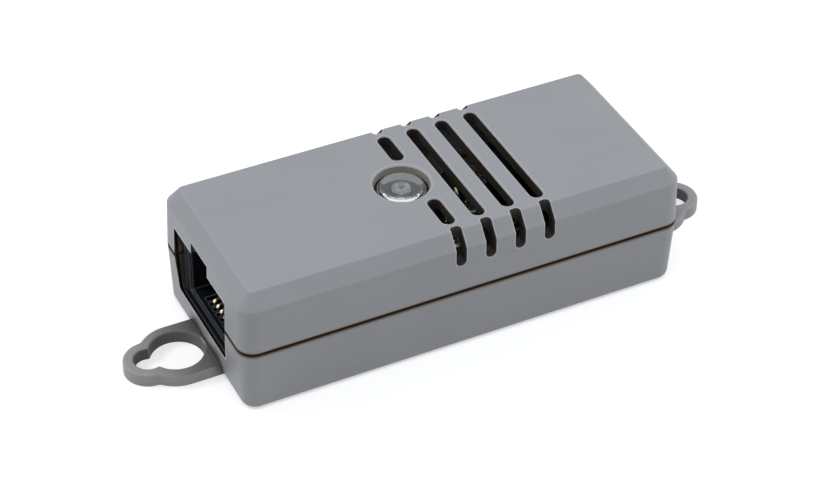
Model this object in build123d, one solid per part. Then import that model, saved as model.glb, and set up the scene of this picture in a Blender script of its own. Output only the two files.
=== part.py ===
from build123d import *
from math import atan2, degrees, hypot, radians, tan
import os

# A small temperature sensor for an equipment rack, in millimetres.
# X runs along the case with the jack at its low end, +Z is up.
# The origin is the centre of the underside, on the face that rests on the rack.

# Case
case_length = 56.2
case_width = 24.0
case_height = 16.3
parting_height = 8.45
wall = 1.5
floor_thickness = 1.4
corner_radius = 2.05
inner_corner_radius = 0.7
upper_draft = 2.1
lower_draft = 2.5
chamfer_width = 1.48
chamfer_height = 1.8
top_corner_radius = 0.5
crease_radius = 0.3
bottom_edge_radius = 0.9
overrun = 1.0

# Parting joint
parting_gap = 0.45
tongue_thickness = 0.65
tongue_height = 1.1
tongue_clearance = 0.1

# Keyhole ears
ear_thickness = 1.65
head_reach = 3.4
shank_reach = 6.83
ear_head_radius = 4.44
ear_shank_radius = 2.98
ear_waist_radius = 0.8
head_hole_radius = 3.18
shank_hole_radius = 1.7
hole_waist_radius = 0.3
ear_edge_radius = 0.3

# Vents in the top and round the top edges
slot_count = 4
slot_pitch = 3.78
first_slot_x = -1.18
top_slot_width = 1.6
top_slot_half_length = 8.98
side_slot_width = 1.32
side_slot_start = 9.66
side_slot_low = 12.2
side_slot_corner = 0.5
slot_edge_break = 0.15
bevel_angle = 45.0
slot_to_lens_gap = 0.7

# Lens hole and light pipe
lens_x = -2.95
lens_hole_radius = 3.37
lens_seat_radius = 3.2
lens_bevel_depth = 1.0
lens_edge_break = 0.15
lens_radius = 2.62
lens_sink = 0.08
lens_thickness = 0.8
lens_rim_thickness = 0.36
lens_rim_radius = 0.22
flange_radius = 4.0
flange_thickness = 0.8
stem_radius = 1.22
pipe_to_lamp_gap = 0.3
collar_clearance = 0.1
collar_wall = 0.6

# Circuit board
board_thickness = 1.0
board_to_floor = 1.0
board_clearance = 0.3
board_corner_radius = 1.2
solder_length = 0.6

# Case screws, their bosses and posts
post_radius = 2.2
post_side_gap = 0.35
post_end_gap = 2.2
post_jack_gap = 1.2
boss_radius = 2.5
pilot_radius = 0.9
pilot_depth = 7.0
screw_hole_radius = 1.25
screw_radius = 0.88
screw_length = 7.8
screw_point_length = 0.8
screw_head_radius = 1.85
screw_head_height = 0.95
screw_head_crown = 0.25
head_clearance = 0.2
counterbore_depth = 1.1
drive_slot_width = 0.45
drive_slot_length = 2.0
drive_slot_depth = 0.5

# Modular jack, latch side up
jack_y = 0.75
jack_recess = 0.9
jack_width = 12.7
jack_height = 11.0
jack_length = 16.0
plug_width = 9.75
plug_height = 6.8
plug_depth = 12.4
plug_floor = 1.35
latch_width = 6.4
latch_height = 1.1
latch_slot_width = 3.9
latch_slot_height = 0.9
mouth_bevel = 0.25
jack_clearance = 0.25
peg_radius = 1.55
peg_clearance = 0.08
peg_spacing = 10.16
peg_from_front = 8.2
peg_point = 0.3

# Jack contacts
contact_slot_count = 6
contact_count = 4
contact_pitch = 1.02
contact_radius = 0.23
contact_slot_width = 0.62
contact_front = 1.5
contact_level = 0.42
contact_riser = 1.2
contact_tip_back = 8.0
contact_tip_rise = 3.0
contact_bend_radius = 0.28
contact_row_back = 12.6
contact_row_step = 2.3
contact_hole_radius = 0.4

# Window for the jack in the end wall
window_half_width = 7.45
window_low_half_width = 6.8
window_low = 3.76
window_high = 12.37
window_corner_radius = 0.6
notch_half_width = 2.35
notch_high = 13.9
window_lip = 0.17
window_bevel_depth = 0.42
window_bevel_angle = 58.0
relief_lip = 0.66

# Temperature sensor on bent leads under the vents
sensor_radius = 2.3
sensor_flat = 1.4
sensor_length = 4.6
sensor_lead_pitch = 1.27
sensor_lead_radius = 0.28
sensor_lead_bend = 0.6
sensor_lead_run = 1.7
sensor_x = 5.15
sensor_y = 1.45
sensor_height = 7.9

# Leads of the chips
chip_lead_thickness = 0.2
chip_lead_shoulder = 0.35
chip_lead_foot = 0.6
chip_standoff = 0.12
chip_edge = 0.12

# Chips: length along the rows of leads, width, height, lead pitch and lead width
controller_length = 10.0
controller_width = 3.9
controller_height = 1.45
controller_leads_each_side = 8
memory_length = 4.9
memory_width = 3.9
memory_height = 1.45
memory_leads_each_side = 4
fine_pitch = 1.27
fine_lead_width = 0.42
regulator_length = 6.5
regulator_width = 3.5
regulator_height = 1.6
regulator_lead_count = 3
regulator_pitch = 2.3
regulator_lead_width = 0.7
regulator_tab_width = 3.0
diode_length = 4.3
diode_width = 2.6
diode_height = 2.0
diode_lead_width = 1.5

# Indicator lamp
lamp_length = 3.2
lamp_width = 2.8
lamp_height = 1.9
lamp_cup_radius = 1.15
lamp_cup_low_radius = 0.75
lamp_cup_depth = 0.9
lamp_terminal_width = 2.2
lamp_terminal_thickness = 0.15
lamp_terminal_height = 1.0
lamp_terminal_foot = 0.7

# Storage capacitor
can_radius = 2.5
can_height = 4.6
can_edge = 0.35
can_groove_height = 0.9
can_groove_depth = 0.2
can_groove_width = 0.4
can_base_size = 5.3
can_base_height = 0.7
can_base_cut = 1.0
can_lead_width = 0.7
can_lead_thickness = 0.2
can_lead_start = 0.9
can_lead_end = 3.3

# Small passive parts
capacitor_length = 2.0
capacitor_width = 1.25
capacitor_height = 0.9
resistor_length = 1.6
resistor_width = 0.8
resistor_height = 0.45
bead_length = 2.0
bead_width = 1.25
bead_height = 0.85
passive_edge = 0.08

# Places on the board as shares of its half length and half width
controller_place_shares = (0.61, -0.02)
memory_place_shares = (0.33, -0.52)
regulator_place_shares = (0.86, 0.0)
can_place_shares = (0.36, 0.63)
capacitor_place_shares = ((0.075, 0.62), (0.075, -0.72), (0.42, -0.06), (0.62, 0.66), (0.62, -0.68))
resistor_place_shares = (
    (0.165, -0.5), (0.165, -0.7), (0.165, -0.3), (-0.03, 0.36), (-0.03, -0.36),
    (0.53, 0.7), (0.53, 0.86), (0.53, -0.66),
)

# Distances behind the jack's front of the parts beside it
diode_from_front = (5.85, 12.5)
bead_from_front = (4.8, 8.5)
side_capacitor_from_front = 12.5

# Heights and places that follow
parting_low = parting_height - parting_gap / 2
parting_high = parting_height + parting_gap / 2
roof_under = case_height - wall
board_low = floor_thickness + board_to_floor
board_top = board_low + board_thickness
end_x = case_length / 2
side_y = case_width / 2
chamfer_slope = chamfer_width / chamfer_height
chamfer_angle = degrees(atan2(chamfer_width, chamfer_height))
jack_front_x = -end_x + jack_recess
jack_back_x = jack_front_x + jack_length
jack_top = board_top + jack_height
plug_low = board_top + plug_floor
post_y = side_y - wall - post_side_gap - post_radius
post_left_x = jack_back_x + post_jack_gap + post_radius
post_right_x = end_x - wall - post_end_gap - post_radius
post_places = [(x, y) for x in (post_left_x, post_right_x) for y in (-post_y, post_y)]
lower_set = (parting_height - board_low) * tan(radians(lower_draft))
board_half_length = end_x - wall - lower_set - board_clearance
board_half_width = side_y - wall - lower_set - board_clearance
slot_xs = [first_slot_x + n * slot_pitch for n in range(slot_count)]
ear_x = end_x - 2 * wall
head_x = end_x + head_reach
shank_x = end_x + shank_reach
lamp_top = board_top + lamp_height
low_strip_y = (jack_y - jack_width / 2 - board_half_width) / 2
high_strip_y = (jack_y + jack_width / 2 + board_half_width) / 2


def block(x0, x1, y0, y1, z0, z1):
    """A box between two corners."""
    return Pos((x0 + x1) / 2, (y0 + y1) / 2, (z0 + z1) / 2) * Box(x1 - x0, y1 - y0, z1 - z0)


def rod(x, y, z0, z1, radius):
    """An upright cylinder between two heights."""
    return Pos(x, y, (z0 + z1) / 2) * Cylinder(radius, z1 - z0)


def board_place(shares):
    """A place on the board from its shares."""
    return board_half_length * shares[0], board_half_width * shares[1]


def save(shape, name):
    export_step(shape, f"parts/{name}.step")


def rounded(half_length, half_width, radius, z, facing=1):
    """A rounded rectangle at one height, facing up or down."""
    plane = Plane(origin=(0, 0, z), x_dir=(1, 0, 0), z_dir=(0, 0, facing))
    return plane * RectangleRounded(2 * half_length, 2 * half_width, radius)


def wall_radius(inset):
    """The corner radius at the parting joint, outside or inside."""
    return corner_radius if inset == 0 else inner_corner_radius


def upper_form(inset):
    """The drafted walls and chamfered top, shrunk all round by an inset."""
    top = case_height - inset
    half_length = end_x - inset
    half_width = side_y - inset
    foot = rounded(half_length, half_width, wall_radius(inset), parting_height)
    walls = extrude(foot, top - parting_height, taper=upper_draft)
    slant = hypot(chamfer_width, chamfer_height)
    crease_drop = inset * (slant - chamfer_height) / chamfer_width
    crease = case_height - chamfer_height - crease_drop
    spread = (crease - parting_height) * (chamfer_slope - tan(radians(upper_draft)))
    top_radius = top_corner_radius if inset == 0 else inner_corner_radius
    cap_radius = top_radius + (top - parting_height) * chamfer_slope
    cap = extrude(rounded(half_length + spread, half_width + spread, cap_radius, parting_height),
                  top - parting_height, taper=chamfer_angle)
    return walls & cap


def lower_form(inset, low):
    """The drafted lower walls down to a given height."""
    face = rounded(end_x - inset, side_y - inset, wall_radius(inset), parting_height, facing=-1)
    return extrude(face, parting_height - low, taper=lower_draft)


def joint_ring(outer_inset, inner_inset, low, high):
    """A band of wall between two insets."""
    outer = rounded(end_x - outer_inset, side_y - outer_inset, corner_radius - outer_inset, low)
    inner = rounded(end_x - inner_inset, side_y - inner_inset, inner_corner_radius, low)
    return extrude(outer - inner, high - low)


def window_outline(with_notch):
    """The jack window's outline, as distances from the jack's middle and heights."""
    low = window_low
    high = window_high
    points = [(-window_low_half_width, low), (window_low_half_width, low),
              (window_half_width, parting_height), (window_half_width, high)]
    if with_notch:
        points += [(notch_half_width, high), (notch_half_width, notch_high),
                   (-notch_half_width, notch_high), (-notch_half_width, high)]
    points += [(-window_half_width, high), (-window_half_width, parting_height)]
    face = make_face(Polyline(*points, close=True))
    corners = face.vertices().group_by(Axis.Y)[0]
    return fillet(corners, window_corner_radius)


def jack_window():
    """What both shells lose for the jack: the window, its inner bevel and a pocket behind it."""
    lip_x = -end_x + window_lip
    outside = Plane(origin=(lip_x, jack_y, 0), x_dir=(0, -1, 0), z_dir=(-1, 0, 0))
    inside = Plane(origin=(lip_x, jack_y, 0), x_dir=(0, 1, 0), z_dir=(1, 0, 0))
    hole = extrude(outside * window_outline(True), overrun)
    hole += extrude(inside * window_outline(True), wall + overrun)
    hole += extrude(inside * window_outline(False), window_bevel_depth, taper=-window_bevel_angle)
    half = jack_width / 2 + jack_clearance
    hole += block(-end_x + relief_lip, -end_x + wall + 2 * overrun, jack_y - half, jack_y + half,
                  board_top - jack_clearance, jack_top + jack_clearance)
    return hole


def top_slot(x, y0, y1):
    """One vent slot through the roof, with its top edge broken."""
    centre = (y0 + y1) / 2
    length = y1 - y0
    deep = Plane(origin=(x, centre, case_height + overrun), x_dir=(0, 1, 0), z_dir=(0, 0, -1))
    cut = extrude(deep * SlotOverall(length, top_slot_width), 2 * overrun + wall + flange_thickness)
    top = Plane(origin=(x, centre, case_height), x_dir=(0, 1, 0), z_dir=(0, 0, -1))
    wider = SlotOverall(length + 2 * slot_edge_break, top_slot_width + 2 * slot_edge_break)
    return cut + extrude(top * wider, slot_edge_break, taper=bevel_angle)


def side_slot(x, side):
    """One vent slot that starts on the top and runs down over the chamfer and the wall."""
    reach = side_y + overrun
    radius = side_slot_width / 2
    low = side_slot_low + radius
    start = side_slot_start
    plan = Plane(origin=(x, side * (start + reach) / 2, low), x_dir=(0, 1, 0), z_dir=(0, 0, 1))
    outline = RectangleRounded(reach - start, side_slot_width, side_slot_corner)
    cut = extrude(plan * outline, case_height + overrun - low)
    low_y, high_y = sorted((side * (side_y - wall / 2), side * reach))
    cut += block(x - radius, x + radius, low_y, high_y, low, case_height)
    inner = side_y - 2 * wall
    foot = Plane(origin=(x, side * inner, low), x_dir=(1, 0, 0), z_dir=(0, side, 0))
    return cut + extrude(foot * Circle(radius), reach - inner)


def vents():
    """All vent cuts: long top slots, the first one split by the lens, and the side slots."""
    clear = lens_hole_radius + slot_to_lens_gap
    cuts = top_slot(slot_xs[0], clear, top_slot_half_length)
    cuts += top_slot(slot_xs[0], -top_slot_half_length, -clear)
    for x in slot_xs[1:]:
        cuts += top_slot(x, -top_slot_half_length, top_slot_half_length)
    for x in slot_xs:
        for side in (-1, 1):
            cuts += side_slot(x, side)
    return cuts


def lens_hole():
    """The bevelled hole in the roof over the light pipe."""
    bevel_low = case_height - lens_bevel_depth
    cone = Pos(lens_x, 0, case_height - lens_bevel_depth / 2)
    cut = cone * Cone(lens_seat_radius, lens_hole_radius, lens_bevel_depth)
    cut += rod(lens_x, 0, roof_under - overrun, bevel_low, lens_seat_radius)
    edge = Pos(lens_x, 0, case_height - lens_edge_break / 2)
    wide = lens_hole_radius + lens_edge_break
    cut += edge * Cone(lens_hole_radius, wide, lens_edge_break)
    return cut + rod(lens_x, 0, case_height, case_height + overrun, wide)


def upper_shell():
    """The cover: outer form, hollow, screw posts, lens collar, window and vents."""
    form = upper_form(0)
    form = fillet(form.edges().group_by(Axis.Z)[-1], crease_radius)
    crease = case_height - chamfer_height
    reach = chamfer_height / 3
    creases = [e for e in form.edges() if crease - reach < e.center().Z < crease + reach / 2]
    form = fillet(creases, crease_radius)
    below = block(-case_length, case_length, -case_width, case_width, 0, parting_high)
    shell = form - upper_form(wall)
    lip_inset = wall - tongue_thickness - tongue_clearance
    shell -= joint_ring(lip_inset, wall + overrun, 0, parting_height + tongue_height + tongue_clearance)
    shell -= below
    collar_inner = flange_radius + collar_clearance
    collar_low = roof_under - flange_thickness
    collar = rod(lens_x, 0, collar_low, roof_under + wall / 2, collar_inner + collar_wall)
    shell += collar - rod(lens_x, 0, 0, roof_under, collar_inner)
    for x, y in post_places:
        shell += rod(x, y, board_top, roof_under + wall / 2, post_radius)
    for x, y in post_places:
        shell -= rod(x, y, 0, board_top + pilot_depth, pilot_radius)
    shell -= jack_window()
    shell -= lens_hole()
    return shell - vents()


def two_lobes(head_radius, shank_radius, waist_radius):
    """A wide lobe for a screw's head and a narrow one for its shank, the corners between rounded."""
    lobes = Pos(head_x, 0) * Circle(head_radius) + Pos(shank_x, 0) * Circle(shank_radius)
    waist = [v for v in lobes.vertices() if head_x < v.X < shank_x + shank_radius / 2]
    return fillet(waist, waist_radius)


def ear_sketch():
    """The keyhole ear seen from above."""
    root = Pos((ear_x + head_x) / 2, 0) * Rectangle(head_x - ear_x, 2 * ear_head_radius)
    hole = two_lobes(head_hole_radius, shank_hole_radius, hole_waist_radius)
    return two_lobes(ear_head_radius, ear_shank_radius, ear_waist_radius) + root - hole


def keyhole_ear():
    """One ear at the high end of the case, its top rim slightly rounded."""
    ear = extrude(ear_sketch(), ear_thickness)
    rim = [e for e in ear.edges().group_by(Axis.Z)[-1] if e.center().X > end_x]
    return fillet(rim, ear_edge_radius)


def lower_shell():
    """The base: outer form, hollow, tongue, board bosses, screw counterbores, ears and window."""
    form = lower_form(0, 0)
    form = fillet(form.edges().group_by(Axis.Z)[0], bottom_edge_radius)
    above = block(-case_length, case_length, -case_width, case_width, parting_low, case_height)
    shell = form - above
    ear = keyhole_ear()
    shell += ear + mirror(ear, Plane.YZ)
    shell -= lower_form(wall, floor_thickness)
    shell += joint_ring(wall - tongue_thickness, wall, parting_low, parting_height + tongue_height)
    for x, y in post_places:
        shell += rod(x, y, floor_thickness / 2, board_low, boss_radius)
    for x, y in post_places:
        shell -= rod(x, y, 0, board_low + overrun, screw_hole_radius)
        shell -= rod(x, y, 0, counterbore_depth, screw_head_radius + head_clearance)
    return shell - jack_window()


def light_pipe():
    """Clear pipe: hollow cap in the lens hole, flange under the roof, stem down to the lamp."""
    tip = case_height - lens_sink
    flange_low = roof_under - flange_thickness
    head = rod(lens_x, 0, flange_low, tip, lens_radius)
    head = fillet(head.edges().group_by(Axis.Z)[-1], lens_rim_radius)
    pipe = head + rod(lens_x, 0, flange_low, roof_under, flange_radius)
    pipe -= rod(lens_x, 0, flange_low - overrun, tip - lens_thickness, lens_radius - lens_rim_thickness)
    return pipe + rod(lens_x, 0, lamp_top + pipe_to_lamp_gap, tip - lens_thickness / 2, stem_radius)


def peg_places():
    """Where the jack's two locating pegs go through the board."""
    x = jack_front_x + peg_from_front
    return [(x, jack_y + side * peg_spacing / 2) for side in (-1, 1)]


def contact_ys(count):
    """Equal places across the jack, counted out from its middle."""
    return [jack_y + (n - (count - 1) / 2) * contact_pitch for n in range(count)]


def contact_tails():
    """The tails of the contacts where they pass the board, in two staggered rows."""
    row = jack_front_x + contact_row_back
    return [(row + (n % 2) * contact_row_step, y) for n, y in enumerate(contact_ys(contact_count))]


def sensor_lead_xs():
    """The sensor's three leads, the middle one behind the second vent slot."""
    return [sensor_x + n * sensor_lead_pitch for n in (-1, 0, 1)]


def circuit_board():
    """The board, drilled for the screws, the jack's pegs, its contacts and the sensor's leads."""
    board = extrude(rounded(board_half_length, board_half_width, board_corner_radius, board_low),
                    board_thickness)
    low = board_low - overrun
    high = board_top + overrun
    for x, y in post_places:
        board -= rod(x, y, low, high, screw_hole_radius)
    for x, y in peg_places():
        board -= rod(x, y, low, high, peg_radius + peg_clearance)
    for x, y in contact_tails():
        board -= rod(x, y, low, high, contact_hole_radius)
    for x in sensor_lead_xs():
        board -= rod(x, sensor_y, low, high, contact_hole_radius)
    return board


def jack_housing():
    """The jack's body: plug cavity with a latch channel above and contact slots in its floor."""
    half = jack_width / 2
    body = block(jack_front_x, jack_back_x, jack_y - half, jack_y + half, board_top, jack_top)
    body = chamfer(body.edges().group_by(Axis.Z)[-1], mouth_bevel)
    deep = jack_front_x + plug_depth
    front = jack_front_x - overrun
    high = plug_low + plug_height
    cavity = block(front, deep, jack_y - plug_width / 2, jack_y + plug_width / 2, plug_low, high)
    latch = high + latch_height
    cavity += block(front, deep, jack_y - latch_width / 2, jack_y + latch_width / 2, high, latch)
    cavity += block(front, deep, jack_y - latch_slot_width / 2, jack_y + latch_slot_width / 2,
                    latch, latch + latch_slot_height)
    slot_front = jack_front_x + contact_front - contact_slot_width
    slot_back = jack_front_x + contact_row_back + contact_row_step + contact_slot_width
    half_slot = contact_slot_width / 2
    for y in contact_ys(contact_slot_count):
        cavity += block(slot_front, slot_back, y - half_slot, y + half_slot,
                        board_top - overrun, plug_low + overrun)
    body -= cavity
    mouth = Plane(origin=(jack_front_x, jack_y, (plug_low + high) / 2), x_dir=(0, 1, 0), z_dir=(1, 0, 0))
    lead_in = Rectangle(plug_width + 2 * mouth_bevel, plug_height + 2 * mouth_bevel)
    body -= extrude(mouth * lead_in, mouth_bevel, taper=bevel_angle)
    for x, y in peg_places():
        low = board_low - solder_length
        peg = rod(x, y, low, board_top + overrun, peg_radius)
        body += chamfer(peg.edges().group_by(Axis.Z)[0], peg_point)
    return body


def bent_wire(points, radius, bend_radius):
    """A round wire along straight runs with rounded bends, starting upwards."""
    path = FilletPolyline(*points, radius=bend_radius)
    start = Plane(origin=points[0], z_dir=(0, 0, 1))
    return sweep(start * Circle(radius), path=path)


def contact(tail_x, y):
    """One spring wire: tail through the board, forward in the floor, up and back into the cavity."""
    level = board_top + contact_level
    front = jack_front_x + contact_front
    top = level + contact_riser
    points = [(tail_x, y, board_low - solder_length), (tail_x, y, level), (front, y, level),
              (front, y, top), (front + contact_tip_back, y, top + contact_tip_rise)]
    return bent_wire(points, contact_radius, contact_bend_radius)


def sensor_lead(x):
    """One lead of the temperature sensor: up from the board and over towards its body."""
    level = board_top + sensor_height
    points = [(x, sensor_y, board_low - solder_length), (x, sensor_y, level),
              (x, sensor_y + sensor_lead_run, level)]
    return bent_wire(points, sensor_lead_radius, sensor_lead_bend)


def sensor_body():
    """The round-backed sensor package, flat side down, lying along the width."""
    outline = Circle(sensor_radius)
    outline -= Pos(0, -sensor_flat - sensor_radius) * Rectangle(2 * sensor_radius, 2 * sensor_radius)
    place = Plane(origin=(sensor_x, sensor_y + sensor_lead_run, board_top + sensor_height),
                  x_dir=(-1, 0, 0), z_dir=(0, 1, 0))
    return extrude(place * outline, sensor_length)


def chip_body(place, length, width, height, along_x):
    """A moulded chip body on its standoff, its top edges broken."""
    x, y = place
    size = (length, width) if along_x else (width, length)
    low = board_top + chip_standoff
    body = block(x - size[0] / 2, x + size[0] / 2, y - size[1] / 2, y + size[1] / 2, low, low + height)
    return chamfer(body.edges().group_by(Axis.Z)[-1], chip_edge)


def bent_lead(width, middle):
    """One gull-wing lead that leaves a body at a height and ends in a foot on the board."""
    t = chip_lead_thickness
    out = chip_lead_shoulder
    foot = out + t + chip_lead_foot
    points = [(0, middle), (out, middle), (out, 0), (foot, 0), (foot, t), (out + t, t),
              (out + t, middle + t), (0, middle + t)]
    face = make_face(Plane.XZ * Polyline(*points, close=True))
    return extrude(face, width / 2, both=True)


def row_of_leads(place, count, pitch, lead_width, body_width, body_height, turn):
    """A row of equal leads on one side of a chip; turn 0 puts it on the +X side."""
    lead = bent_lead(lead_width, chip_standoff + body_height / 2)
    side = Pos(place[0], place[1], board_top) * Rot(0, 0, turn)
    row = []
    for n in range(count):
        across = (n - (count - 1) / 2) * pitch
        row.append(side * Pos(body_width / 2, across, 0) * lead)
    return row


def status_led():
    """The lamp's white body with its round cup."""
    body = block(-lamp_length / 2, lamp_length / 2, -lamp_width / 2, lamp_width / 2, 0, lamp_height)
    body = chamfer(body.edges().filter_by(Axis.Z), chip_edge)
    cup = Pos(0, 0, lamp_height - lamp_cup_depth / 2)
    body -= cup * Cone(lamp_cup_low_radius, lamp_cup_radius, lamp_cup_depth)
    return Pos(lens_x, 0, board_top) * body


def led_terminals():
    """The lamp's two terminals, one up each end face with a foot on the board."""
    t = lamp_terminal_thickness
    half = lamp_terminal_width / 2
    terminals = []
    for side in (-1, 1):
        inner = lamp_length / 2
        upright = block(inner, inner + t, -half, half, 0, lamp_terminal_height)
        foot = block(inner + t, inner + t + lamp_terminal_foot, -half, half, 0, t)
        turn = 0 if side > 0 else 180
        terminals.append(Pos(lens_x, 0, board_top) * Rot(0, 0, turn) * (upright + foot))
    return terminals


def capacitor_can():
    """The storage capacitor's aluminium can, rolled in near its foot."""
    x, y = board_place(can_place_shares)
    low = board_top + can_lead_thickness + can_base_height
    can = rod(x, y, low, low + can_height, can_radius)
    can = fillet(can.edges().group_by(Axis.Z)[-1], can_edge)
    groove_low = low + can_groove_height
    groove = rod(x, y, groove_low, groove_low + can_groove_width, can_radius + overrun)
    groove -= rod(x, y, groove_low, groove_low + can_groove_width, can_radius - can_groove_depth)
    return can - groove


def capacitor_base():
    """The capacitor's square base with two corners cut."""
    x, y = board_place(can_place_shares)
    half = can_base_size / 2
    low = board_top + can_lead_thickness
    base = block(x - half, x + half, y - half, y + half, low, low + can_base_height)
    corners = [e for e in base.edges().filter_by(Axis.Z) if e.center().X > x]
    return chamfer(corners, can_base_cut)


def capacitor_leads():
    """The two flat leads that the base stands on."""
    x, y = board_place(can_place_shares)
    half = can_lead_width / 2
    high = board_top + can_lead_thickness
    near = block(x + can_lead_start, x + can_lead_end, y - half, y + half, board_top, high)
    far = block(x - can_lead_end, x - can_lead_start, y - half, y + half, board_top, high)
    return [near, far]


def passives(places, length, width, height):
    """Small rectangular parts lying on the board, one solid each."""
    parts = []
    for x, y in places:
        part = block(x - length / 2, x + length / 2, y - width / 2, y + width / 2,
                     board_top, board_top + height)
        parts.append(chamfer(part.edges().filter_by(Axis.Y), passive_edge))
    return parts


def case_screw(x, y):
    """One thread-forming screw seen from below: crossed drive, round head, plain shank, point."""
    seat = counterbore_depth
    low = seat - screw_head_height
    head = rod(x, y, low, seat, screw_head_radius)
    head = fillet(head.edges().group_by(Axis.Z)[0], screw_head_crown)
    tip = seat + screw_length
    shank_end = tip - screw_point_length
    screw = head + rod(x, y, seat, shank_end, screw_radius)
    point = Pos(x, y, (shank_end + tip) / 2)
    screw += point * Cone(screw_radius, screw_radius / 3, screw_point_length)
    half = drive_slot_width / 2
    reach = drive_slot_length / 2
    deep = low + drive_slot_depth
    screw -= block(x - half, x + half, y - reach, y + reach, 0, deep)
    return screw - block(x - reach, x + reach, y - half, y + half, 0, deep)


def save_case():
    save(upper_shell(), "upper_shell")
    save(lower_shell(), "lower_shell")
    save(light_pipe(), "light_pipe")
    save(Compound([case_screw(x, y) for x, y in post_places]), "case_screws")


def save_jack():
    save(jack_housing(), "jack_housing")
    save(Compound([contact(x, y) for x, y in contact_tails()]), "jack_contacts")


def save_chips():
    place = board_place(controller_place_shares)
    save(chip_body(place, controller_length, controller_width, controller_height, False), "controller_chip")
    leads = []
    for turn in (0, 180):
        leads += row_of_leads(place, controller_leads_each_side, fine_pitch, fine_lead_width,
                              controller_width, controller_height, turn)
    save(Compound(leads), "controller_leads")

    place = board_place(memory_place_shares)
    save(chip_body(place, memory_length, memory_width, memory_height, False), "memory_chip")
    leads = []
    for turn in (0, 180):
        leads += row_of_leads(place, memory_leads_each_side, fine_pitch, fine_lead_width,
                              memory_width, memory_height, turn)
    save(Compound(leads), "memory_leads")

    place = board_place(regulator_place_shares)
    save(chip_body(place, regulator_length, regulator_width, regulator_height, False), "regulator_body")
    leads = row_of_leads(place, regulator_lead_count, regulator_pitch, regulator_lead_width,
                         regulator_width, regulator_height, 180)
    leads += row_of_leads(place, 1, regulator_pitch, regulator_tab_width,
                          regulator_width, regulator_height, 0)
    save(Compound(leads), "regulator_leads")

    bodies = []
    leads = []
    for distance in diode_from_front:
        place = (jack_front_x + distance, low_strip_y)
        bodies.append(chip_body(place, diode_length, diode_width, diode_height, True))
        for turn in (0, 180):
            leads += row_of_leads(place, 1, fine_pitch, diode_lead_width, diode_length, diode_height, turn)
    save(Compound(bodies), "clamp_diodes")
    save(Compound(leads), "diode_leads")


def save_board():
    save(circuit_board(), "circuit_board")
    save(sensor_body(), "sensor_body")
    save(Compound([sensor_lead(x) for x in sensor_lead_xs()]), "sensor_leads")
    save(status_led(), "status_led")
    save(Compound(led_terminals()), "led_terminals")
    save(capacitor_can(), "capacitor_can")
    save(capacitor_base(), "capacitor_base")
    save(Compound(capacitor_leads()), "capacitor_leads")
    places = [(jack_front_x + distance, high_strip_y) for distance in bead_from_front]
    save(Compound(passives(places, bead_length, bead_width, bead_height)), "ferrite_beads")
    places = [board_place(shares) for shares in capacitor_place_shares]
    places.append((jack_front_x + side_capacitor_from_front, high_strip_y))
    capacitors = passives(places, capacitor_length, capacitor_width, capacitor_height)
    save(Compound(capacitors), "ceramic_capacitors")
    places = [board_place(shares) for shares in resistor_place_shares]
    save(Compound(passives(places, resistor_length, resistor_width, resistor_height)), "chip_resistors")


os.makedirs("parts", exist_ok=True)
save_case()
save_jack()
save_chips()
save_board()
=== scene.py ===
import bpy
import math
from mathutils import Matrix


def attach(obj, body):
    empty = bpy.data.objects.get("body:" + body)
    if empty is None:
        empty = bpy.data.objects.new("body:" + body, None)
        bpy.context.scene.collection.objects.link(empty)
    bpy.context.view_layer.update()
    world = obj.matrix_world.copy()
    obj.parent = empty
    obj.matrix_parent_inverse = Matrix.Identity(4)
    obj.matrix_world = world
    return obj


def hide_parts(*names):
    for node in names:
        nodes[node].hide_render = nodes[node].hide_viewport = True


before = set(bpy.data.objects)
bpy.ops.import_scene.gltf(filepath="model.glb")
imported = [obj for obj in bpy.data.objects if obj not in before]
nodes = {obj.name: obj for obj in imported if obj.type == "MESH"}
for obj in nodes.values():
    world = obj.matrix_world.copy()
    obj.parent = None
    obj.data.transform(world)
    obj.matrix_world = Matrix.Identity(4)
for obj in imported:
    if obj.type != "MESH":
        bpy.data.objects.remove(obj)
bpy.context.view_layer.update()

mm = 0.001
print("frame loaded:", len(nodes), "nodes")


class Signal:  # one shader output that can be used in sums
    def __init__(self, wiring, socket):
        self.wiring = wiring
        self.socket = socket

    def maths(self, operation, first, second=0.0):
        return self.wiring.node("ShaderNodeMath", {"operation": operation}, {0: first, 1: second})

    def __add__(self, other):
        return self.maths("ADD", self, other)

    def __radd__(self, other):
        return self.maths("ADD", other, self)

    def __sub__(self, other):
        return self.maths("SUBTRACT", self, other)

    def __rsub__(self, other):
        return self.maths("SUBTRACT", other, self)

    def __mul__(self, other):
        return self.maths("MULTIPLY", self, other)

    def __rmul__(self, other):
        return self.maths("MULTIPLY", other, self)

    def __gt__(self, other):
        return self.maths("GREATER_THAN", self, other)

    def __lt__(self, other):
        return self.maths("LESS_THAN", self, other)

    def __abs__(self):
        return self.maths("ABSOLUTE", self)

    def between(self, low, high):
        return (self > low) * (self < high)

    def pingPong(self, length):  # back and forth between 0 and the length
        return self.maths("PINGPONG", self, length)

    def above(self, start, gain):  # 0 up to the start, then rising to 1
        return ((self - start) * gain).clip()

    def most(self, other):
        return self.maths("MAXIMUM", self, other)

    def clip(self):
        return self.wiring.node("ShaderNodeClamp", {}, {"Value": self})


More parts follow.
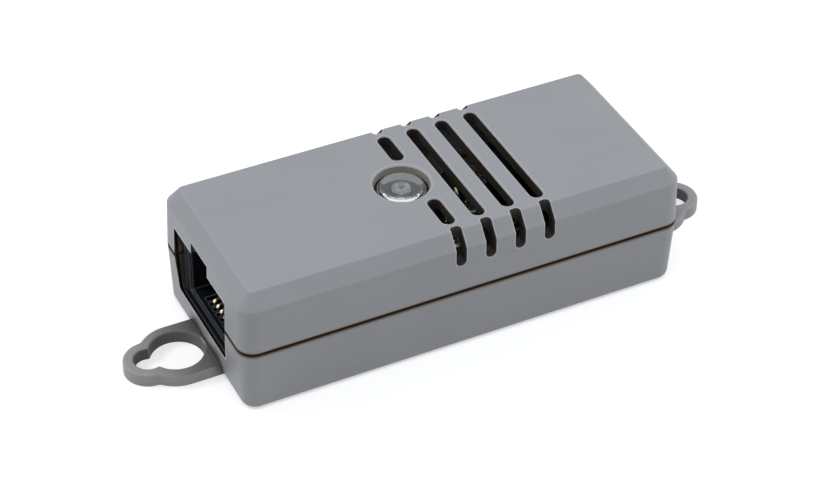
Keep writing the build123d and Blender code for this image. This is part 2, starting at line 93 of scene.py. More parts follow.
class Wiring:  # a node tree, and the one way in which nodes are added to it
    def __init__(self, tree):
        self.tree = tree

    def node(self, kind, settings, links, output=0):
        made = self.tree.nodes.new(kind)
        for key, value in settings.items():
            if key == "stops":
                setStops(made.color_ramp.elements, value)
            else:
                setattr(made, key, value)
        for socket, value in links.items():
            if isinstance(value, Signal):
                self.join(value, made.inputs[socket])
            else:
                made.inputs[socket].default_value = value
        return Signal(self, made.outputs[output])

    def join(self, signal, socket):
        self.tree.links.new(signal.socket, socket)

    def seenRays(self):  # 1 for what is looked at, also by way of gloss or clear plastic, 0 for light
        seen = self.node("ShaderNodeLightPath", {}, {}, "Is Camera Ray")
        for kind in ("Is Glossy Ray", "Is Transmission Ray"):
            seen = seen.most(self.node("ShaderNodeLightPath", {}, {}, kind))
        return seen


class Finish(Wiring):  # one material and the patterns that feed its shader
    def __init__(self, name, **constants):
        self.material = bpy.data.materials.new(name)
        self.material.use_nodes = True
        super().__init__(self.material.node_tree)
        self.shader = self.tree.nodes["Principled BSDF"]
        self.output = self.tree.nodes["Material Output"]
        for socket, value in constants.items():
            self.shader.inputs[socket.replace("_", " ")].default_value = value
        self.place = self.node("ShaderNodeTexCoord", {}, {}, "Object")
        self.surface = Signal(self, self.shader.outputs[0])

    def noise(self, grainSize, detail, place=None):
        links = {"Vector": place or self.place, "Scale": 1 / grainSize, "Detail": detail}
        return self.node("ShaderNodeTexNoise", {}, links, "Fac")

    def drawn(self, scale, detail):  # noise pulled out into streaks
        streaks = self.node("ShaderNodeMapping", {}, {"Vector": self.place, "Scale": scale})
        return self.noise(1.0, detail, streaks)

    def cells(self, cellSize):
        return self.node("ShaderNodeTexVoronoi", {}, {"Vector": self.place, "Scale": 1 / cellSize}, "Distance")

    def axis(self, name):
        return self.node("ShaderNodeSeparateXYZ", {}, {"Vector": self.place}, name)

    def facing(self, name):  # how far the surface itself faces along an axis
        normal = self.node("ShaderNodeNewGeometry", {}, {}, "Normal")
        return self.node("ShaderNodeSeparateXYZ", {}, {"Vector": normal}, name)

    def ramp(self, factor, stops):
        return self.node("ShaderNodeValToRGB", {"stops": stops}, {"Fac": factor})

    def blend(self, factor, first, second):
        colours = [c if isinstance(c, Signal) else (*c, 1) for c in (first, second)]
        links = {0: factor, 6: colours[0], 7: colours[1]}
        return self.node("ShaderNodeMix", {"data_type": "RGBA"}, links, 2)

    def softened(self, radius):
        return self.node("ShaderNodeBevel", {"samples": 6}, {"Radius": radius})

    def edges(self, radius, gain=9.0):  # 0 on flats, up to about 1 on sharp rims
        flat = self.node("ShaderNodeNewGeometry", {}, {}, "Normal")
        both = {0: self.softened(radius), 1: flat}
        likeness = self.node("ShaderNodeVectorMath", {"operation": "DOT_PRODUCT"}, both, "Value")
        return ((1 - likeness) * gain).clip()

    def hollows(self, reach):  # 0 in the open, 1 deep in slots and corners
        settings = {"samples": 8, "only_local": True}
        return 1 - self.node("ShaderNodeAmbientOcclusion", settings, {"Distance": reach}, "AO")

    def within(self, x, y, radius):  # inside an upright cylinder, in millimetres
        level = self.node("ShaderNodeVectorMath", {"operation": "MULTIPLY"}, {0: self.place, 1: (1, 1, 0)})
        links = {0: level, 1: (x * mm, y * mm, 0)}
        return self.node("ShaderNodeVectorMath", {"operation": "DISTANCE"}, links, "Value") < radius * mm

    def bump(self, height, depth, strength, edge=0.0):  # edge rounds sharp rims by that much
        links = {"Height": height, "Distance": depth, "Strength": strength}
        if edge:
            links["Normal"] = self.softened(edge)
        return self.node("ShaderNodeBump", {}, links)

    def layered(self, factor, layer):  # another shader laid over what is there
        self.surface = self.node("ShaderNodeMixShader", {}, {0: factor, 1: self.surface, 2: layer})
        self.join(self.surface, self.output.inputs["Surface"])

    def mattLayer(self, factor, colour, roughness, gloss=0.06):  # a matt layer: painted shade and groove brown on the case, frosting in the clear pipe
        settings = {"Base Color": colour, "Roughness": roughness, "Specular IOR Level": gloss}
        self.layered(factor, self.node("ShaderNodeBsdfPrincipled", {}, settings))

    def feed(self, **signals):
        for socket, value in signals.items():
            self.join(value, self.shader.inputs[socket.replace("_", " ")])
        return self.material


def setStops(elements, stops):
    while len(elements) < len(stops):
        elements.new(0.5)
    for element, (place, tone) in zip(elements, stops):
        element.position = place
        element.color = (*tone, 1)


def tinted(colour, share):
    return tuple(min(1.0, part * share) for part in colour)


def raised(span, pattern):  # the first number, and what a full pattern adds to it
    least, rise = span
    return least + pattern * rise


def weighed(shares, *patterns):  # patterns added up by their shares
    parts = [pattern * share for share, pattern in zip(shares, patterns)]
    return sum(parts[1:], parts[0])


# In all finishes a noise has its size and detail, a roughness its least and what the grain adds,
# and a bump its depth, strength and softened edge

# Grey case. Places and sizes without mm are in millimetres and take it where they are used

caseLook = {
    "grey": (0.292, 0.300, 0.322),
    "greyRange": (0.93, 1.07),
    "grain": (0.24 * mm, 3.0),
    "pits": 0.336 * mm,
    "cloud": (14 * mm, 2.0),
    "streaks": ((60, 420, 420), 2.0),
    "mottle": (0.35, 0.4, 0.25),  # grain, cloud, streaks
    "mottleStops": (0.25, 0.5, 0.75),
    "relief": (0.6, 0.4),  # grain, pits
    "bump": (0.012 * mm, 0.6, 0.11 * mm),
    "roughness": (0.38, 0.1),
    "cloudRoughness": 0.04,
    # rim is the tone of the painted highlight along edges and creases
    "rim": (0.68, 0.68, 0.69),
    "rimReach": 0.3 * mm,
    "rimShare": (0.5, 0.4),
    # the painted shade: its dark brown tone and how far it reaches into hollows
    "paintedShadeColour": (0.030, 0.021, 0.015),
    "paintedShadeRange": (0.7, 1.3),
    "paintedShadeReach": 2.4 * mm,
    "paintedShadeRise": (0.14, 2.6),
    "paintedShadeShare": (0.84, 0.3),
    "paintedShadeRoughness": (0.78, 0.15),
    "groove": (8.2, 8.7),
    "grooveBrown": (0.125, 0.082, 0.055),
    "lipReach": (0.34, 0.2),
    "lipDirt": 0.8,
    "windowWalls": ((-29.0, -26.2), (-7.2, 8.6), (2.9, 13.9)),
    "windowTurn": 0.35,
    "windowShade": 0.86,
}

earLook = {
    "from": 28.4,
    "handled": (0.345, 0.322, 0.312),
    "handling": (0.35, 0.3),
    "caseEnd": 28.25,
    "upward": 0.5,
    # painted shade beside the case wall and in the keyholes
    "paintedShade": 0.68,
    "shadeEnd": 35.8,
    "shadeRun": 7.4,
    "keyholes": ((31.5, 3.22), (34.93, 1.74)),
    "keyholeShade": 0.6,
    "pinMarks": [(x, y) for x in (-20, -1, 16) for y in (-6, 6)],
    "pinRadius": 1.3,
    "pinTop": 0.5,
    "pinDepth": 4.0,
}

ventLook = {
    "slotXs": (-1.18, 2.60, 6.38, 10.16),
    "slotHalf": 0.83,
    # painted shade on the slot walls, the side slots' ends and the collar under the roof
    "slotShade": 0.97,
    "sideHalf": 0.69,
    "sideFrom": 9.62,
    "sideLow": 12.17,
    "sideShade": 0.8,
    "skin": 0.1,
    "wallTurn": 0.5,
    "endTurn": 0.3,
    "floorTurn": 0.9,
    "lensWall": (-2.95, 0.0, 3.5),
    "lensShadeRemoved": 0.9,
    "holeWallShade": (0.222, 0.188, 0.154),
    "holeShadeShare": 0.85,
    "collar": (-2.95, 0.0, 4.8),
    "collarTop": 15.32,
}


def lipDirt(finish):  # fades out below and above the parting groove
    height = finish.axis("Z")
    low, high = [edge * mm for edge in caseLook["groove"]]
    below, above = [reach * mm for reach in caseLook["lipReach"]]
    rising = height.above(low - below, 1 / below)
    falling = (((high + above) - height) * (1 / above)).clip()
    return rising * falling * caseLook["lipDirt"]


def windowShade(finish):  # painted shade on the inward walls of the jack's opening
    inWindow = abs(finish.facing("X")) < caseLook["windowTurn"]
    for axisName, (low, high) in zip("XYZ", caseLook["windowWalls"]):
        inWindow = inWindow * finish.axis(axisName).between(low * mm, high * mm)
    return inWindow * caseLook["windowShade"]


def earWearAndShade(finish, cloud, grey, paintedShadeMask):  # ears browned by handling, with painted shade beside the case and in the keyholes
    look = earLook
    x = abs(finish.axis("X"))
    handling = (x > look["from"] * mm) * raised(look["handling"], cloud)
    grey = finish.blend(handling, grey, look["handled"])
    nearWall = ((look["shadeEnd"] * mm - x) * (1 / (look["shadeRun"] * mm))).clip()
    nearWall = nearWall * (x > look["caseEnd"] * mm) * (finish.facing("Z") > look["upward"])
    paintedShadeMask = paintedShadeMask.most(nearWall * look["paintedShade"])
    for centre, radius in look["keyholes"]:
        for side in (-1, 1):
            paintedShadeMask = paintedShadeMask.most(finish.within(side * centre, 0.0, radius) * look["keyholeShade"])
    return grey, paintedShadeMask


def ventShade(finish, grey, paintedShadeMask):  # painted shade in the slots and round the lens, and a darker brownish painted shade on the lens hole's wall
    look = ventLook
    x, y, height = finish.axis("X"), abs(finish.axis("Y")), finish.axis("Z")
    faceX, faceZ = finish.facing("X"), finish.facing("Z")
    upright = abs(faceZ) < look["wallTurn"]
    slotFloor = (faceZ > look["floorTurn"]) * (height < (look["sideLow"] + look["skin"]) * mm)
    backWall = (y < (look["sideFrom"] + look["skin"]) * mm) * upright
    cutWall = (abs(faceX) > look["endTurn"]).most(backWall).most(slotFloor)
    lensWall = finish.within(*look["lensWall"])
    paintedShadeMask = paintedShadeMask * (1 - lensWall * look["lensShadeRemoved"])
    for slotX in look["slotXs"]:
        across = abs(x - slotX * mm)
        onTop = (across < look["slotHalf"] * mm) * (y < look["sideFrom"] * mm)
        onTop = onTop * upright * (1 - lensWall)
        atSide = (across < look["sideHalf"] * mm) * (y > look["sideFrom"] * mm)
        atSide = atSide * (height > look["sideLow"] * mm) * cutWall
        paintedShadeMask = paintedShadeMask.most(onTop * look["slotShade"]).most(atSide * look["sideShade"])
    paintedShadeMask = paintedShadeMask.most(finish.within(*look["collar"]) * (height < look["collarTop"] * mm))
    # painted shade: the upright wall of the lens hole darker and browner
    grey = finish.blend(lensWall * upright * look["holeShadeShare"], grey, look["holeWallShade"])
    return grey, paintedShadeMask


def caseGrey(name, lower=False):
    look = caseLook
    finish = Finish(name, IOR=1.5)
    height = finish.axis("Z")
    fine = finish.noise(*look["grain"])
    pits = finish.cells(look["pits"])
    cloud = finish.noise(*look["cloud"])
    streaks = finish.drawn(*look["streaks"])
    mottle = weighed(look["mottle"], fine, cloud, streaks)
    darkest, palest = [tinted(look["grey"], share) for share in look["greyRange"]]
    grey = finish.ramp(mottle, list(zip(look["mottleStops"], (darkest, look["grey"], palest))))
    # painted highlight: paler along edges, creases and slot rims
    paintedHighlight = finish.edges(look["rimReach"]) * raised(look["rimShare"], fine)
    grey = finish.blend(paintedHighlight, grey, look["rim"])
    # painted shade: darker in hollows, slots and corners
    paintedShadeMask = finish.hollows(look["paintedShadeReach"]).above(*look["paintedShadeRise"])
    paintedShadeMask = paintedShadeMask.most(windowShade(finish))
    relief = weighed(look["relief"], fine, pits)
    if lower:
        grey, paintedShadeMask = earWearAndShade(finish, cloud, grey, paintedShadeMask)
        for x, y in earLook["pinMarks"]:  # round pin marks in the underside
            mark = finish.within(x, y, earLook["pinRadius"]) * (height < earLook["pinTop"] * mm)
            relief = relief - mark * earLook["pinDepth"]
    else:
        grey, paintedShadeMask = ventShade(finish, grey, paintedShadeMask)
    paintedShadeMask = (paintedShadeMask * raised(look["paintedShadeShare"], cloud)).clip()
    lips = lipDirt(finish)
    inGroove = height.between(look["groove"][0] * mm, look["groove"][1] * mm)
    paintedShade = finish.blend(fine, *[tinted(look["paintedShadeColour"], share) for share in look["paintedShadeRange"]])
    # in the parting groove and its lips the groove brown takes the place of the painted shade
    paintedShade = finish.blend(paintedShadeMask < lips, paintedShade, look["grooveBrown"])
    finish.mattLayer(paintedShadeMask.most(lips).most(inGroove), paintedShade, raised(look["paintedShadeRoughness"], fine))
    roughness = raised(look["roughness"], fine) + cloud * look["cloudRoughness"]
    return finish.feed(Base_Color=grey, Roughness=roughness, Normal=finish.bump(relief, *look["bump"]))


jackLook = {
    "black": (0.008, 0.0085, 0.010),
    "gloss": 0.035,
    # edge is the tone of a painted bluish highlight along the jack's rims
    "edge": (0.150, 0.182, 0.232),
    "edgeHighlightReach": 0.28 * mm,
    "grain": (0.18 * mm, 3.0),
    "bump": (0.01 * mm, 0.5, 0.07 * mm),
    "dust": (1.1 * mm, 4.0),
    "dustRise": (0.55, 1.6),
    "dustShare": 3.2,
    "roughness": (0.42, 0.08),
    "dullRise": (0.5, 0.5),
}


def jackBlack():
    look = jackLook
    finish = Finish("jackBlack", Specular_IOR_Level=look["gloss"])
    fine = finish.noise(*look["grain"])
    dust = finish.noise(*look["dust"])
    dusty = dust.above(*look["dustRise"])
    black = finish.blend(dusty, look["black"], tinted(look["black"], look["dustShare"]))
    # painted highlight along the jack's edges
    black = finish.blend(finish.edges(look["edgeHighlightReach"]), black, look["edge"])
    roughness = raised(look["roughness"], fine) + dust.above(*look["dullRise"])
    return finish.feed(Base_Color=black, Roughness=roughness, Normal=finish.bump(fine, *look["bump"]))


goldLook = {
    "gold": (0.90, 0.74, 0.40),
    "pale": (0.98, 0.91, 0.70),
    # dull is the tone of the painted shade along the springs
    "dull": (0.09, 0.062, 0.034),
    "drawn": ((900, 9000, 9000), 3.0),
    "drawnDepth": 0.004 * mm,
    "patch": (1.6 * mm, 2.0),
    "roughness": (0.14, 0.14),
    "dullRoughness": 0.2,
    "springShadeStart": -25.72 * mm,
    "springShadeFade": 0.25 * mm,
}


def goldPlate(name, shadedSprings=False, satin=0.0, brightness=1.0, relief=0.5):
    look = goldLook
    finish = Finish(name, Metallic=1.0)
    drawn = finish.drawn(*look["drawn"])
    patch = finish.noise(*look["patch"])
    gold = finish.blend(patch, tinted(look["gold"], brightness), tinted(look["pale"], brightness))
    least, rise = look["roughness"]
    roughness = raised((least + satin, rise), drawn)
    if shadedSprings:  # gold at the bends, and deeper in the jack the springs darker and rougher as painted shade
        springShade = finish.axis("X").above(look["springShadeStart"], 1 / look["springShadeFade"])
        gold = finish.blend(springShade, gold, look["dull"])
        roughness = roughness + springShade * look["dullRoughness"]
    return finish.feed(Base_Color=gold, Roughness=roughness, Normal=finish.bump(drawn, look["drawnDepth"], relief))


boardLook = {
    "mask": (0.004, 0.020, 0.010),
    "overCopper": (0.009, 0.042, 0.020),
    "edge": (0.30, 0.27, 0.15),
    "weave": (0.3 * mm, 2.0),
    "region": (5.5 * mm, 1.0),
    "regionEdge": 0.5,
    "regionGap": 0.035,
    "trackPitch": 0.62 * mm,
    "trackFrom": 0.62,
    "bump": (0.02 * mm, 0.8),
    "weaveBump": 0.15,
    "roughness": (0.30, 0.12),
    "edgeRoughness": 0.4,
    "top": 3.4 * mm,
    "bottom": 2.4 * mm,
    "skin": 0.03 * mm,
}


def boardGreen():
    look = boardLook
    finish = Finish("boardGreen", IOR=1.55)
    weave = finish.noise(*look["weave"])
    region = finish.noise(*look["region"])
    pitch = look["trackPitch"]
    alongX, alongY = [finish.axis(name).pingPong(pitch) > pitch * look["trackFrom"] for name in "YX"]
    choice = region > look["regionEdge"]
    fields = abs(region - look["regionEdge"]) > look["regionGap"]
    tracks = (alongX * choice + alongY * (1 - choice)) * fields
    mask = finish.blend(tracks, look["mask"], look["overCopper"])
    height = finish.axis("Z")
    faces = (height > look["top"] - look["skin"]).most(height < look["bottom"] + look["skin"])
    colour = finish.blend(faces, look["edge"], mask)
    roughness = raised(look["roughness"], weave) + (1 - faces) * look["edgeRoughness"]
    relief = tracks * faces + weave * look["weaveBump"]
    return finish.feed(Base_Color=colour, Roughness=roughness, Normal=finish.bump(relief, *look["bump"]))


epoxyLook = {
    "black": (0.020, 0.020, 0.022),
    "cloudShare": 1.9,
    "cloud": (2.5 * mm, 2.0),
    "grain": (0.09 * mm, 2.0),
    "bump": (0.008 * mm, 0.8, 0.04 * mm),
    "roughness": (0.5, 0.16),
}


def chipBlack():
    look = epoxyLook
    finish = Finish("chipBlack", IOR=1.5)
    fine = finish.noise(*look["grain"])
    cloud = finish.noise(*look["cloud"])
    black = finish.blend(cloud, look["black"], tinted(look["black"], look["cloudShare"]))
    return finish.feed(Base_Color=black, Roughness=raised(look["roughness"], fine),
                       Normal=finish.bump(fine, *look["bump"]))


tinLook = {
    "bright": (0.46, 0.45, 0.43),
    "dull": (0.28, 0.27, 0.26),
    "grain": (0.12 * mm, 3.0),
    "grainRoughness": 0.12,
    "bump": (0.006 * mm, 0.6),
    "patch": (0.9 * mm, 3.0),
}


def matteTin(name="matteTin", roughness=0.44):
    look = tinLook
    finish = Finish(name, Metallic=1.0)
    fine = finish.noise(*look["grain"])
    patch = finish.noise(*look["patch"])
    metal = finish.blend(patch, look["dull"], look["bright"])
    return finish.feed(Base_Color=metal, Roughness=raised((roughness, look["grainRoughness"]), fine),
                       Normal=finish.bump(fine, *look["bump"]))


lampLook = {
    "white": (0.78, 0.78, 0.74),
    "phosphor": (0.34, 0.38, 0.41),
    "cup": (-2.95, 0.0, 1.1),
    "gelShare": (0.85, 0.15),
    "grain": (0.1 * mm, 2.0),
    "bump": (0.005 * mm, 0.5),
    "roughness": (0.32, 0.1),
}


def lampWhite():
    look = lampLook
    finish = Finish("lampWhite", IOR=1.5)
    fine = finish.noise(*look["grain"])
    gel = finish.within(*look["cup"]) * raised(look["gelShare"], fine)
    colour = finish.blend(gel, look["white"], look["phosphor"])
    return finish.feed(Base_Color=colour, Roughness=raised(look["roughness"], fine),
                       Normal=finish.bump(fine, *look["bump"]))


canLook = {
    "metal": (0.80, 0.80, 0.81),
    "band": (0.02, 0.02, 0.022),
    "bandEnd": 8.02 * mm,
    "bandRoughness": 0.25,
    "brushed": ((2500, 2500, 18000), 3.0),
    "shade": 0.85,
    "bump": (0.004 * mm, 0.5),
    "roughness": (0.2, 0.14),
}


def canMetal():
    look = canLook
    finish = Finish("canMetal")
    brushed = finish.drawn(*look["brushed"])
    band = finish.axis("X") < look["bandEnd"]  # printed side band
    metal = finish.blend(brushed, tinted(look["metal"], look["shade"]), look["metal"])
    colour = finish.blend(band, metal, look["band"])
    roughness = raised(look["roughness"], brushed) + band * look["bandRoughness"]
    return finish.feed(Base_Color=colour, Metallic=1 - band, Roughness=roughness,
                       Normal=finish.bump(brushed, *look["bump"]))


# Small parts on the board, each a coloured body between two tinned ends

boardHalf = (26.034, 9.934)


def boardPlaces(*shares):
    return [(boardHalf[0] * x, boardHalf[1] * y) for x, y in shares]


smallParts = {
    "ferrite_beads": {
        "finish": "ferriteGrey",
        "body": (0.07, 0.07, 0.075),
        "halfBody": 0.72,
        "centres": [(-22.4, 8.52), (-18.7, 8.52)],
    },
    "ceramic_capacitors": {
        "finish": "ceramicTan",
        "body": (0.36, 0.25, 0.15),
        "halfBody": 0.62,
        "centres": boardPlaces((0.075, 0.62), (0.075, -0.72), (0.42, -0.06), (0.62, 0.66), (0.62, -0.68))
        + [(-14.7, 8.52)],
    },
    "chip_resistors": {
        "finish": "resistorFilm",
        "body": (0.018, 0.018, 0.020),
        "halfBody": 0.52,
        "centres": boardPlaces((0.165, -0.5), (0.165, -0.7), (0.165, -0.3), (-0.03, 0.36), (-0.03, -0.36),
                               (0.53, 0.7), (0.53, 0.86), (0.53, -0.66)),
    },
}

glazeLook = {
    "tinned": (0.60, 0.59, 0.57),
    "halfWidth": 1.2,
    "bodyRange": (0.8, 1.25),
    "grain": (0.14 * mm, 3.0),
    "bump": (0.006 * mm, 0.6),
    "roughness": (0.34, 0.14),
}


def smallPart(part):
    look = glazeLook
    finish = Finish(part["finish"], IOR=1.55)
    fine = finish.noise(*look["grain"])
    x, y = finish.axis("X"), finish.axis("Y")
    middle = None
    for centreX, centreY in part["centres"]:
        inside = abs(x - centreX * mm) < part["halfBody"] * mm
        inside = inside * (abs(y - centreY * mm) < look["halfWidth"] * mm)
        middle = middle.most(inside) if middle else inside
    body = finish.blend(fine, *[tinted(part["body"], share) for share in look["bodyRange"]])
    colour = finish.blend(middle, look["tinned"], body)
    return finish.feed(Base_Color=colour, Metallic=1 - middle, Roughness=raised(look["roughness"], fine),
                       Normal=finish.bump(fine, *look["bump"]))


clearLook = {
    "colours": ((0.93, 0.955, 0.97), (0.98, 0.99, 1.0)),
    "flow": (0.9 * mm, 2.0),
    "bump": (0.006 * mm, 0.35),
    "grain": (0.12 * mm, 2.0),
    "roughness": (0.01, 0.03),
    "shade": (0.86, 0.89, 0.91, 1),
    "frost": (0.66, 0.70, 0.75, 1),
    "frostGrain": 0.06,
    "frostRoughness": (0.6, 0.1),
    "centre": (-2.95, 0.0),
    # inner and outer radius, low and high, share: inner wall of the cap, then end of the stem
    "frosted": ((2.44, 2.72, 14.5, 15.38, 0.42), (0.28, 1.25, 15.14, 15.24, 0.02)),
}


def clearPlastic(name):
    look = clearLook
    finish = Finish(name, IOR=1.49, Transmission_Weight=1.0)
    flow = finish.noise(*look["flow"])
    fine = finish.noise(*look["grain"])
    x, y = look["centre"]
    height = finish.axis("Z")
    for inner, outer, low, high, share in look["frosted"]:
        ring = finish.within(x, y, outer) * (1 - finish.within(x, y, inner))
        ring = ring * height.between(low * mm, high * mm)
        frosting = ring * raised((share, look["frostGrain"]), fine)
        finish.mattLayer(frosting, look["frost"], raised(look["frostRoughness"], fine))
    through = finish.node("ShaderNodeBsdfTransparent", {}, {"Color": look["shade"]})
    finish.layered(finish.node("ShaderNodeLightPath", {}, {}, "Is Shadow Ray"), through)  # pale shadow
    colour = finish.blend(flow, *look["colours"])
    return finish.feed(Base_Color=colour, Roughness=raised(look["roughness"], fine),
                       Normal=finish.bump(flow, *look["bump"]))


zincLook = {
    "zinc": (0.56, 0.57, 0.58),
    "blue": (0.46, 0.50, 0.56),
    "turned": (0.35 * mm, 4.0),
    "patch": (1.8 * mm, 2.0),
    "bump": (0.008 * mm, 0.5, 0.05 * mm),
    "roughness": (0.26, 0.16),
}


def zincPlate():
    look = zincLook
    finish = Finish("zincPlate", Metallic=1.0)
    turned = finish.noise(*look["turned"])
    patch = finish.noise(*look["patch"])
    metal = finish.blend(patch, look["zinc"], look["blue"])
    return finish.feed(Base_Color=metal, Roughness=raised(look["roughness"], turned),
                       Normal=finish.bump(turned, *look["bump"]))


# Pieces turned on a vertical axis: a circle is raised and widened step by step

smoothAngle = math.radians(38)


def clearSelection():
    if bpy.context.mode != "OBJECT":
        bpy.ops.object.mode_set(mode="OBJECT")
    bpy.ops.object.select_all(action="DESELECT")


def turnedPiece(name, centre, profile, segments):
    clearSelection()
    x, y = centre[0] * mm, centre[1] * mm
    radius, height = profile[0]
    bpy.ops.mesh.primitive_circle_add(vertices=segments, radius=radius * mm, fill_type="NGON",
                                      location=(x, y, height * mm))
    piece = bpy.context.object
    piece.name = name
    bpy.ops.object.mode_set(mode="EDIT")
    bpy.ops.mesh.select_mode(type="FACE")
    bpy.ops.mesh.select_all(action="SELECT")
    for nextRadius, nextHeight in profile[1:]:
        rise = (nextHeight - height) * mm
        bpy.ops.mesh.extrude_region_move(TRANSFORM_OT_translate={"value": (0, 0, rise)})
        share = nextRadius / radius
        bpy.ops.transform.resize(value=(share, share, 1), center_override=(x, y, nextHeight * mm))
        radius, height = nextRadius, nextHeight
    bpy.ops.mesh.select_all(action="SELECT")
    bpy.ops.mesh.normals_make_consistent(inside=False)
    bpy.ops.object.mode_set(mode="OBJECT")
    bpy.ops.object.transform_apply(location=True, rotation=True, scale=True)
    bpy.ops.object.shade_smooth_by_angle(angle=smoothAngle)
    return piece


def copiedTo(piece, name, offset):
    clearSelection()
    piece.select_set(True)
    bpy.context.view_layer.objects.active = piece
    bpy.ops.object.duplicate(linked=False)
    copy = bpy.context.object
    copy.name = name
    bpy.ops.transform.translate(value=tuple(part * mm for part in offset))
    bpy.ops.object.transform_apply(location=True, rotation=True, scale=True)
    return copy


def joined(pieces, name):
    clearSelection()
    for piece in pieces:
        piece.select_set(True)
    bpy.context.view_layer.objects.active = pieces[0]
    bpy.ops.object.join()
    bpy.context.object.name = name
    return bpy.context.object


# Light pipe: stem up from the lamp, thin neck, hollow cap with a flange under the roof and a rounded rim

pipe = {
    "centre": (-2.95, 0.0),
    "stemRadius": 1.22,
    "stemLow": 5.6,
    "footShare": 0.93,
    "footHeight": 0.1,
    "shoulder": 0.05,
    "neckRadius": 0.25,
    "neckLow": 15.2,
    "step": 0.01,
    "capRadius": 2.95,
    "capInner": 2.58,
    "capDraft": 0.04,
    "round": 1.02,
    "roundSteps": 14,
    "innerRound": 0.1,
    "innerSteps": 3,
    "springLine": 15.1,
    "plateLow": 15.42,
    "flangeRadius": 4.0,
    "flangeLow": 14.0,
    "flangeHigh": 14.8,
    "topRings": (0.66, 0.33, 0.06),
    "segments": 72,
}


def arc(centre, radius, fromAngle, toAngle, steps):
    points = []
    for step in range(steps + 1):
        angle = math.radians(fromAngle + (toAngle - fromAngle) * step / steps)
        points.append((centre[0] + radius * math.cos(angle), centre[1] + radius * math.sin(angle)))
    return points


def pipeProfile():  # radius and height, from the foot of the stem up and over the cap
    innerCentre = (pipe["capInner"] - pipe["innerRound"], pipe["plateLow"] - pipe["innerRound"])
    capFlat = pipe["capRadius"] - pipe["round"]
    capTop = pipe["springLine"] + pipe["round"]
    profile = [
        (pipe["stemRadius"] * pipe["footShare"], pipe["stemLow"]),
        (pipe["stemRadius"], pipe["stemLow"] + pipe["footHeight"]),
        (pipe["stemRadius"], pipe["neckLow"] - pipe["shoulder"]),
        (pipe["stemRadius"] - pipe["shoulder"], pipe["neckLow"]),
        (pipe["neckRadius"], pipe["neckLow"] + pipe["step"]),
        (pipe["neckRadius"], pipe["plateLow"] - pipe["step"]),
    ]
    profile += arc(innerCentre, pipe["innerRound"], 90, 0, pipe["innerSteps"])
    profile += [
        (pipe["capInner"] + pipe["capDraft"], pipe["flangeLow"]),
        (pipe["flangeRadius"], pipe["flangeLow"]),
        (pipe["flangeRadius"], pipe["flangeHigh"]),
        (pipe["capRadius"] + pipe["step"], pipe["flangeHigh"]),
    ]
    profile += arc((capFlat, pipe["springLine"]), pipe["round"], 0, 90, pipe["roundSteps"])
    return profile + [(capFlat * share, capTop) for share in pipe["topRings"]]


lightPipe = turnedPiece("lightPipe", pipe["centre"], pipeProfile(), pipe["segments"])
lightPipe.data.materials.append(clearPlastic("clearPipe"))
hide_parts("light_pipe")
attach(lightPipe, "root")
print("light pipe modelled")


# Solder cones: on both faces of the board round the sensor's leads, and under it round the jack's tails

solder = {
    "boardLow": 2.4,
    "boardTop": 3.4,
    "footRadius": 0.78,
    "height": 0.52,
    "steps": ((1.0, 0.0), (0.97, 0.06), (0.72, 0.2), (0.52, 0.42), (0.42, 0.7), (0.385, 1.0)),
    "segments": 20,
    "roughness": 0.34,
    "sensorXs": (3.88, 5.15, 6.42),
    "sensorY": 1.45,
    "contactXs": (-14.6, -12.3),
    "contactYs": (-0.78, 0.24, 1.26, 2.28),
}


def solderProfile(base, way):
    radius, height = solder["footRadius"], solder["height"]
    return [(radius * share, base + way * height * rise) for share, rise in solder["steps"]]


firstX, firstY = solder["sensorXs"][0], solder["sensorY"]
upperCone, lowerCone = [
    turnedPiece("solderCone", (firstX, firstY), solderProfile(base, way), solder["segments"])
    for base, way in ((solder["boardTop"], 1), (solder["boardLow"], -1))
]
cones = [upperCone, lowerCone]
for leadX in solder["sensorXs"][1:]:
    cones += [copiedTo(cone, "solderCone", (leadX - firstX, 0, 0)) for cone in (upperCone, lowerCone)]
for index, tailY in enumerate(solder["contactYs"]):
    tailX = solder["contactXs"][index % 2]
    cones.append(copiedTo(lowerCone, "solderCone", (tailX - firstX, tailY - firstY, 0)))
solderCones = joined(cones, "solderCones")
solderCones.data.materials.append(matteTin("solderTin", solder["roughness"]))
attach(solderCones, "root")
print("solder cones modelled")


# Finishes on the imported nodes

tin = matteTin()
gold = goldPlate("goldLead", satin=-0.08, brightness=1.3, relief=0.1)
epoxy = chipBlack()
finishes = {
    "upper_shell": caseGrey("caseGreyUpper"),
    "lower_shell": caseGrey("caseGreyLower", lower=True),
    "jack_housing": jackBlack(),
    "jack_contacts": goldPlate("goldSpring", shadedSprings=True),
    "circuit_board": boardGreen(),
    "sensor_body": epoxy,
    "sensor_leads": gold,
    "status_led": lampWhite(),
    "led_terminals": gold,
    "controller_chip": epoxy,
    "controller_leads": tin,
    "memory_chip": epoxy,
    "memory_leads": tin,
    "regulator_body": epoxy,
    "regulator_leads": tin,
    "capacitor_can": canMetal(),
    "capacitor_base": epoxy,
    "capacitor_leads": tin,
    "clamp_diodes": epoxy,
    "diode_leads": tin,
    "case_screws": zincPlate(),
}
for name, part in smallParts.items():
    finishes[name] = smallPart(part)
for name, material in finishes.items():
    for slot in nodes[name].material_slots:
        slot.material = material
print("finishes assigned:", len(finishes))


# Floor, light and camera

stage = {
    "floorSize": 6.0,
    "floorLow": -0.00002,
    "floorTone": (0.70, 0.70, 0.70),
    "floorGlow": 0.5,
    "fibre": (3.0 * mm, 3.0),
    "fibreStops": (0.3, 0.7),
    "fibreShade": 0.995,
    "bump": (0.01 * mm, 0.2),
    "roughness": (0.9, 0.05),
    "skyGlow": 0.46,
    "skyTone": (0.985, 0.995, 1.0, 1),
}


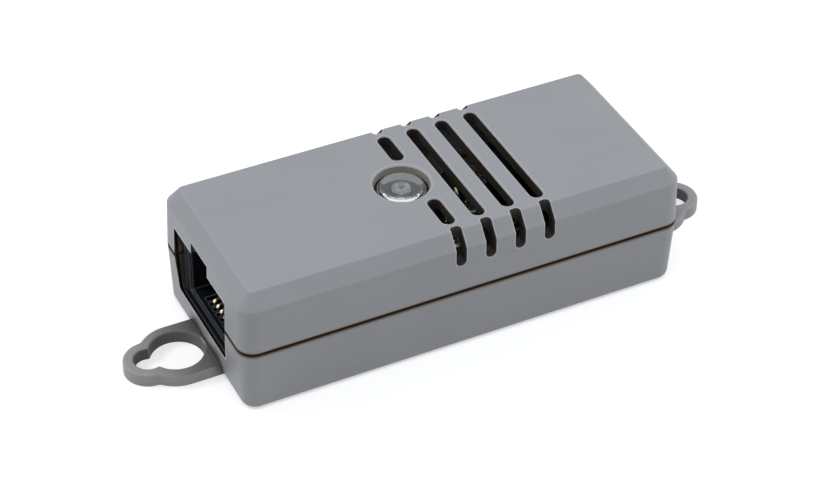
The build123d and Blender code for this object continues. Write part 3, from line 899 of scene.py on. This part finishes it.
def floorWhite():  # white where it is looked at, and it keeps the shadow
    finish = Finish("floorWhite", Specular_IOR_Level=0.0)
    fibre = finish.noise(*stage["fibre"])
    tones = (tinted(stage["floorTone"], stage["fibreShade"]), stage["floorTone"])
    paper = finish.ramp(fibre, list(zip(stage["fibreStops"], tones)))
    strength = finish.seenRays() * stage["floorGlow"]
    glow = finish.node("ShaderNodeEmission", {}, {"Color": (1, 1, 1, 1), "Strength": strength})
    both = finish.node("ShaderNodeAddShader", {}, {0: finish.surface, 1: glow})
    finish.join(both, finish.output.inputs["Surface"])
    return finish.feed(Base_Color=paper, Roughness=raised(stage["roughness"], fibre),
                       Normal=finish.bump(fibre, *stage["bump"]))


clearSelection()
bpy.ops.mesh.primitive_plane_add(size=stage["floorSize"], location=(0, 0, stage["floorLow"]))
floor = bpy.context.object
floor.name = "floor"
floor.data.materials.append(floorWhite())

world = bpy.data.worlds.new("studio")
bpy.context.scene.world = world
world.use_nodes = True
sky = Wiring(world.node_tree)
background = sky.tree.nodes["Background"]
background.inputs["Color"].default_value = stage["skyTone"]
sky.join(sky.seenRays() * (1 - stage["skyGlow"]) + stage["skyGlow"], background.inputs["Strength"])

lamps = {
    "overhead": {"place": (-0.075, -0.149, 0.78), "size": 0.3, "power": 1.25, "tone": (1.0, 0.995, 0.985)},
    "leftBox": {"place": (-0.47, 0.36, 0.54), "size": 0.24, "power": 1.76, "tone": (0.955, 0.985, 1.02)},
    "rightBox": {"place": (0.57, -0.16, 0.54), "size": 0.2, "power": 1.46, "tone": (0.94, 0.98, 1.04)},
}
for name, lamp in lamps.items():
    bpy.ops.object.light_add(type="AREA", location=lamp["place"])
    light = bpy.context.object
    light.name = name
    light.data.shape = "DISK"
    light.data.size = lamp["size"]
    light.data.energy = lamp["power"]
    light.data.color = lamp["tone"]
    light.rotation_euler = (-light.location).to_track_quat("-Z", "Y").to_euler()  # aimed at the origin

camera = {
    "place": (-99.9954 * mm, -193.2382 * mm, 184.6033 * mm),
    "turn": (50.73468, -0.74346, -26.34496),
    "lens": 104.692,
    "sensor": 36.0,
    "clipStart": 0.01,
}
turn = [math.radians(angle) for angle in camera["turn"]]
bpy.ops.object.camera_add(location=camera["place"], rotation=turn)
bpy.context.scene.camera = bpy.context.object
bpy.context.object.data.lens = camera["lens"]
bpy.context.object.data.sensor_width = camera["sensor"]
bpy.context.object.data.clip_start = camera["clipStart"]
bpy.context.scene.view_settings.view_transform = "Standard"
print("floor, light and camera set")
